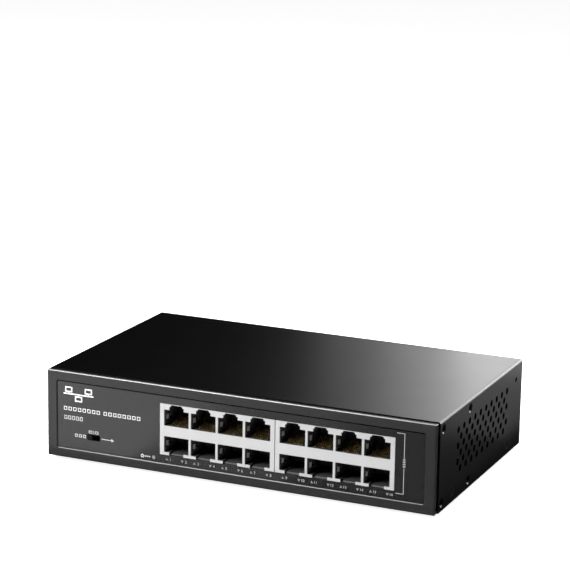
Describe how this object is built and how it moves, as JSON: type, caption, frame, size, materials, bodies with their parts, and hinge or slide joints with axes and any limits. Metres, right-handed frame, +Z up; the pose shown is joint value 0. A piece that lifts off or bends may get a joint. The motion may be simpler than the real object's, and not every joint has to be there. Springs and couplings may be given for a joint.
{
  "type": "desktop network switch",
  "caption": "Flat black metal network switch with two stacked rows of RJ45 sockets, a mode slide switch and port lights on the front, vents on the sides and a mains inlet at the back.",
  "frame": {"origin": "middle of the footprint, on the surface that the feet stand on", "axes": "+X to the right seen from the front, the front faces -Y, +Z up"},
  "size_m": [0.2, 0.123, 0.0454],
  "materials": {
    "satin_black_sheet": "satin black powder coat",
    "bezel_grey": "fine textured dark grey",
    "label_grey": "printed matt film",
    "jack_steel": "nickel plated, satin",
    "jack_black": "glass filled, matt",
    "knob_black": "matt",
    "contact_gold": "gold plated",
    "light_clear": "clear acrylic",
    "led_resin": "tinted resin",
    "tinned_steel": "tinned",
    "board_green": "solder mask",
    "board_tan": "bare phenolic",
    "chip_black": "moulded epoxy",
    "pad_blue": "soft thermal pad",
    "sink_black": "black anodised",
    "can_blue": "shrink sleeve",
    "can_green": "shrink sleeve",
    "nylon_white": "natural nylon",
    "brass_nickel": "turned brass",
    "screw_zinc": "zinc plated",
    "screw_black": "black zinc",
    "ferrite": "sintered ferrite",
    "tape_yellow": "polyester tape",
    "copper_wire": "enamelled copper",
    "fuse_white": "ceramic tube",
    "wire_red": "PVC",
    "wire_brown": "PVC",
    "wire_green": "PVC",
    "inlet_black": "moulded nylon",
    "pin_nickel": "nickel plated brass",
    "foot_rubber": "matt rubber"
  },
  "bodies": {
    "case": {"top_cover": "satin_black_sheet", "bottom_chassis": "satin_black_sheet", "front_bezel": "bezel_grey", "front_label": "label_grey", "left_jack_shield": "jack_steel", "right_jack_shield": "jack_steel", "left_jack_housing": "jack_black", "right_jack_housing": "jack_black", "left_jack_contacts": "contact_gold", "right_jack_contacts": "contact_gold", "port_light_pipes": "light_clear", "power_light_pipe": "light_clear", "port_leds": "led_resin", "power_led": "led_resin", "mode_switch_base": "jack_black", "mode_switch_frame": "tinned_steel", "main_board": "board_green", "switch_chip": "chip_black", "thermal_pad": "pad_blue", "heatsink": "sink_black", "lan_transformers": "chip_black", "flash_chip": "chip_black", "crystal": "tinned_steel", "board_inductors": "chip_black", "board_capacitors": "can_blue", "power_connector": "nylon_white", "board_standoffs": "brass_nickel", "board_screws": "screw_zinc", "supply_board": "board_tan", "insulation_sheet": "nylon_white", "supply_transformer_core": "ferrite", "supply_transformer_winding": "tape_yellow", "mains_capacitor": "can_blue", "output_capacitors": "can_green", "mains_choke": "copper_wire", "mains_fuse": "fuse_white", "bridge_rectifier": "chip_black", "supply_controller": "chip_black", "supply_standoffs": "brass_nickel", "supply_screws": "screw_zinc", "output_cable": "wire_red", "inlet_body": "inlet_black", "inlet_pins": "pin_nickel", "inlet_wires": "wire_brown", "earth_wire": "wire_green", "earth_screw": "screw_zinc", "cover_screws": "screw_black", "rubber_feet": "foot_rubber"},
    "mode_knob": {"mode_switch_knob": "knob_black"}
  },
  "joints": [
    {"name": "mode_slide", "type": "slide", "parent": "case", "child": "mode_knob", "axis": [1, 0, 0], "range_m": [0, 0.004]}
  ]
}
